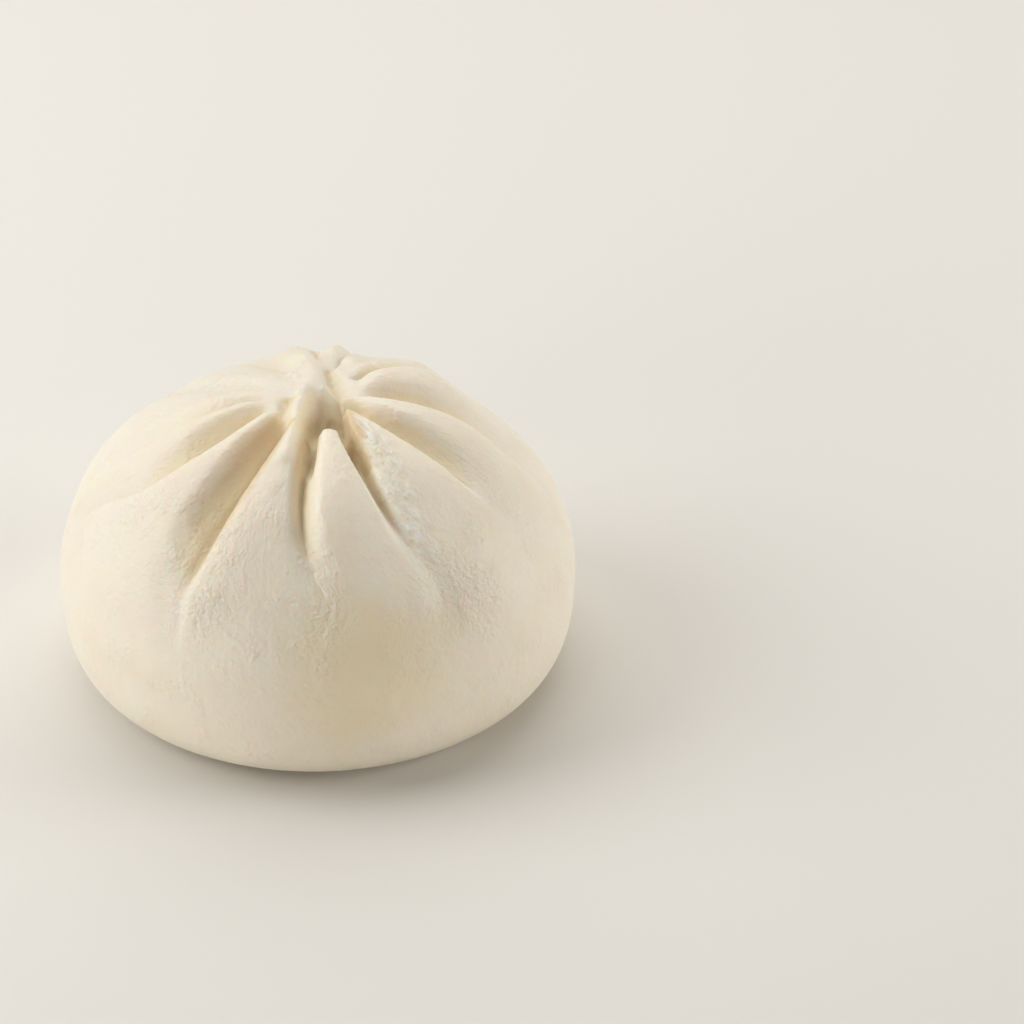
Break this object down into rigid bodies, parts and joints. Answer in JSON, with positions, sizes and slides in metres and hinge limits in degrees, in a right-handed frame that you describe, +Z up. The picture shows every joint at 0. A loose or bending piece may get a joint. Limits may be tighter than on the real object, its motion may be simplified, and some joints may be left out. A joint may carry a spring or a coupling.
{
  "type": "steamed bun",
  "caption": "Round filled steamed bun of risen white dough, gathered into pleats under a twisted knot on top.",
  "frame": {"origin": "middle of the flat base, on the surface that the bun stands on", "axes": "+Z up through the knot, -Y towards the front of the bun"},
  "size_m": [0.105, 0.105, 0.0629],
  "materials": {
    "dough": "steamed wheat dough: creamy white, satin, slightly translucent skin with fine wrinkles along the pleats"
  },
  "bodies": {
    "root": {"bun_dough": "dough"}
  },
  "joints": []
}
